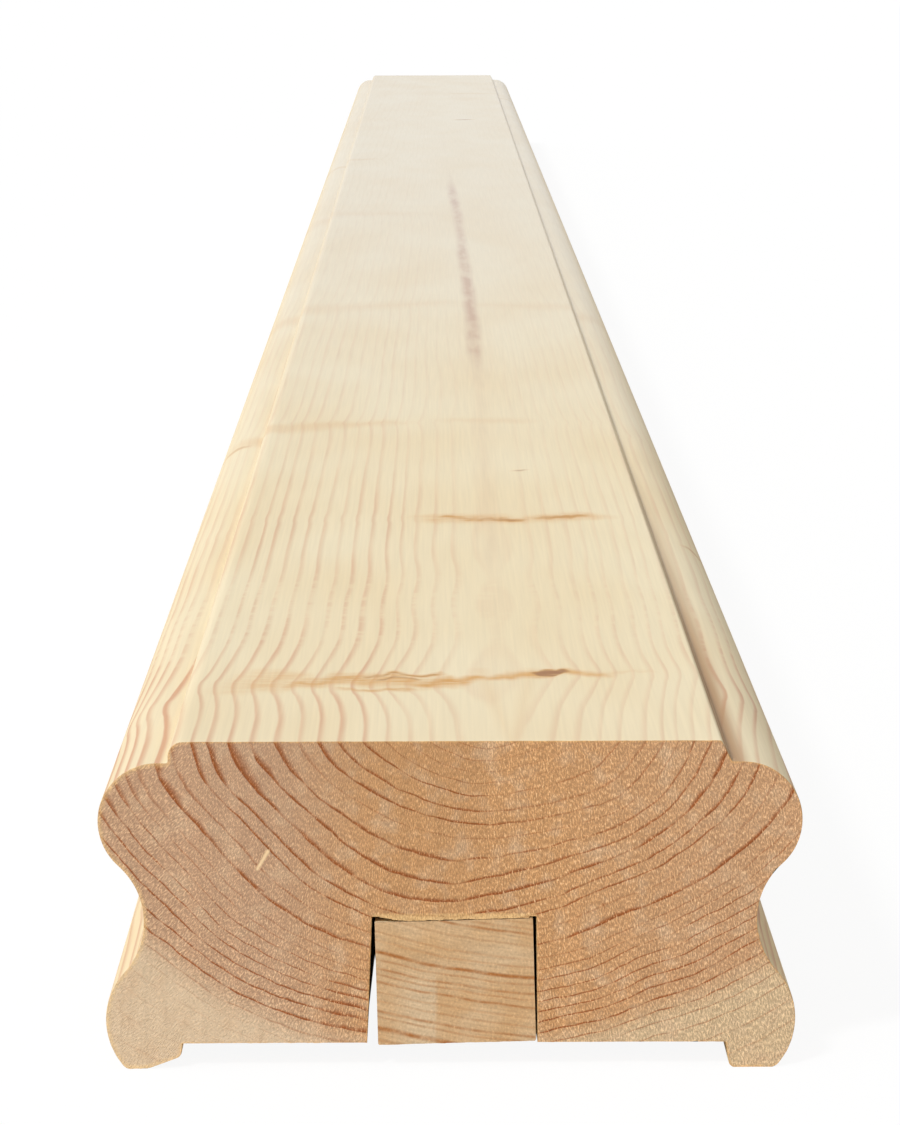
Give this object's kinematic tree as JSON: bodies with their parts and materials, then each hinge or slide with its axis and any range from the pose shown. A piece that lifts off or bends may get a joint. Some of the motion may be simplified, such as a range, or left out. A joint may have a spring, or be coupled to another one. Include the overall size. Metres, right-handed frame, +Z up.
{
  "type": "handrail",
  "caption": "Straight pine handrail with a flat top, beaded and coved sides, and a grooved underside for square balusters, filled by a loose fillet strip.",
  "frame": {"origin": "on the floor, under the middle of the rail, which lies underside down", "axes": "+X across the rail, to the right as the near end is seen, +Y along the rail from the near end to the far end, +Z up out of the flat top"},
  "size_m": [0.095, 2.4, 0.045],
  "materials": {
    "planed_pine": "matte",
    "strip_pine": "matte"
  },
  "bodies": {
    "root": {"handrail": "planed_pine", "fillet_strip": "strip_pine"}
  },
  "joints": []
}
